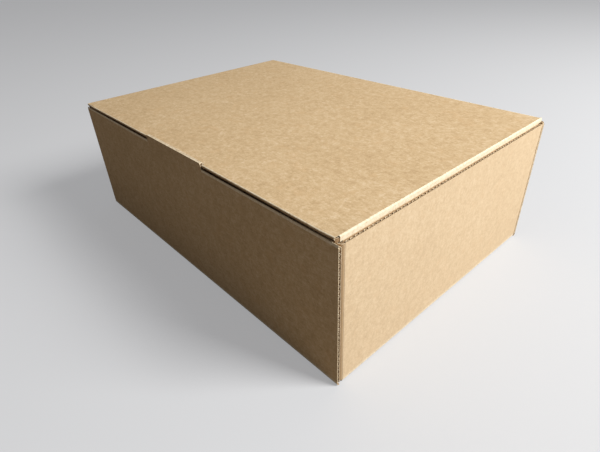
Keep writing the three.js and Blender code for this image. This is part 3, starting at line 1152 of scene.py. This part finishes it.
class MailerLight(bpy.types.PropertyGroup):
    key_power: number_value("Key power", "Power of the main lamp", 43.5, min=0.0, unit="POWER")
    key_colour: colour_value("Key colour", "Colour of the main lamp", (1.0, 0.99, 0.97, 1.0))
    key_size: length_value("Key size", "Side of the main lamp", 0.7)
    key_distance: length_value("Key distance", "Distance of the main lamp", 1.7)
    key_azimuth: angle_value("Key azimuth", "Direction of the main lamp", 27)
    key_elevation: angle_value("Key elevation", "Height angle of the main lamp", 38)
    fill: number_value("Fill", "Strength of the room's light", 0.173, min=0.0)
    fill_colour: colour_value("Fill colour", "Colour of the room's light", (1.0, 0.93, 0.89, 1.0))
    floor_colour: colour_value("Floor", "Colour of the floor", (0.36, 0.365, 0.375, 1.0))
    backdrop: colour_value("Backdrop", "Colour behind the floor", (0.38, 0.385, 0.395, 1.0))
    floor_glow: colour_value("Floor glow", "Evens out the floor that is seen", (0.30, 0.305, 0.315, 1.0))
    floor_bounce: colour_value("Floor bounce", "Colour that the floor throws back", (0.24, 0.20, 0.16, 1.0))


class MAILER_OT_finishes(bpy.types.Operator):
    """Make the materials of the liners, the fluted paper and the cut edges"""
    bl_idname = "mailer.finishes"
    bl_label = "Kraft finishes"

    def execute(self, context):
        board = context.scene.mailer_board
        liner_material(board)
        # Painted shade in part: the fluted paper's colours are darker than the liners so the flute holes read
        # dark.
        core_material("kraft_core_shaded", board.core_shaded_dark, board.core_shaded_colour, board.core_pale)
        core_material("kraft_cut", board.cut_dark, board.cut_colour, board.cut_pale)
        return {"FINISHED"}


class MAILER_OT_tray_liners(bpy.types.Operator):
    """Make the tray's liners: base, walls, tab and glued corner flaps"""
    bl_idname = "mailer.tray_liners"
    bl_label = "Tray liners"

    def execute(self, context):
        build_tray_liners(context.scene.mailer_board)
        return {"FINISHED"}


class MAILER_OT_tray_flutes(bpy.types.Operator):
    """Make the fluted paper that shows at the tray's cut edges"""
    bl_idname = "mailer.tray_flutes"
    bl_label = "Tray flutes"

    def execute(self, context):
        build_tray_flutes(context.scene.mailer_board)
        return {"FINISHED"}


class MAILER_OT_lid_liners(bpy.types.Operator):
    """Make the lid's liners: panel, side flaps and tuck flap"""
    bl_idname = "mailer.lid_liners"
    bl_label = "Lid liners"

    def execute(self, context):
        build_lid_liners(context.scene.mailer_board)
        return {"FINISHED"}


class MAILER_OT_lid_flutes(bpy.types.Operator):
    """Make the fluted paper that shows at the lid's cut edges"""
    bl_idname = "mailer.lid_flutes"
    bl_label = "Lid flutes"

    def execute(self, context):
        build_lid_flutes(context.scene.mailer_board)
        return {"FINISHED"}


class MAILER_OT_crease(bpy.types.Operator):
    """Make the crease between the back wall and the lid"""
    bl_idname = "mailer.crease"
    bl_label = "Back crease"

    def execute(self, context):
        build_crease(context.scene.mailer_board)
        return {"FINISHED"}


class MAILER_OT_stage(bpy.types.Operator):
    """Make the floor, the lamp, the room's light and the camera"""
    bl_idname = "mailer.stage"
    bl_label = "Stage"

    def execute(self, context):
        build_stage(context.scene.mailer_light)
        return {"FINISHED"}


OPERATORS = (
    MAILER_OT_finishes, MAILER_OT_tray_liners, MAILER_OT_tray_flutes, MAILER_OT_lid_liners,
    MAILER_OT_lid_flutes, MAILER_OT_crease, MAILER_OT_stage,
)


class MAILER_PT_panel(bpy.types.Panel):
    """Lists the box's pieces and settings"""
    bl_label = "Mailer box"
    bl_idname = "MAILER_PT_panel"
    bl_space_type = "VIEW_3D"
    bl_region_type = "UI"
    bl_category = "Mailer"

    def draw(self, context):
        column = self.layout.column(align=True)
        for operator in OPERATORS:
            column.operator(operator.bl_idname)
        for settings in (context.scene.mailer_board, context.scene.mailer_light):
            for name in settings.__annotations__:
                self.layout.prop(settings, name)


CLASSES = (MailerBoard, MailerLight, *OPERATORS, MAILER_PT_panel)


def register():
    for item in CLASSES:
        bpy.utils.register_class(item)
    bpy.types.Scene.mailer_board = bpy.props.PointerProperty(type=MailerBoard)
    bpy.types.Scene.mailer_light = bpy.props.PointerProperty(type=MailerLight)


def unregister():
    del bpy.types.Scene.mailer_light
    del bpy.types.Scene.mailer_board
    for item in reversed(CLASSES):
        bpy.utils.unregister_class(item)


def main():
    register()
    bpy.ops.mailer.finishes()
    bpy.ops.mailer.tray_liners()
    bpy.ops.mailer.tray_flutes()
    bpy.ops.mailer.lid_liners()
    bpy.ops.mailer.lid_flutes()
    bpy.ops.mailer.crease()
    bpy.ops.mailer.stage()


if __name__ == "__main__":
    main()
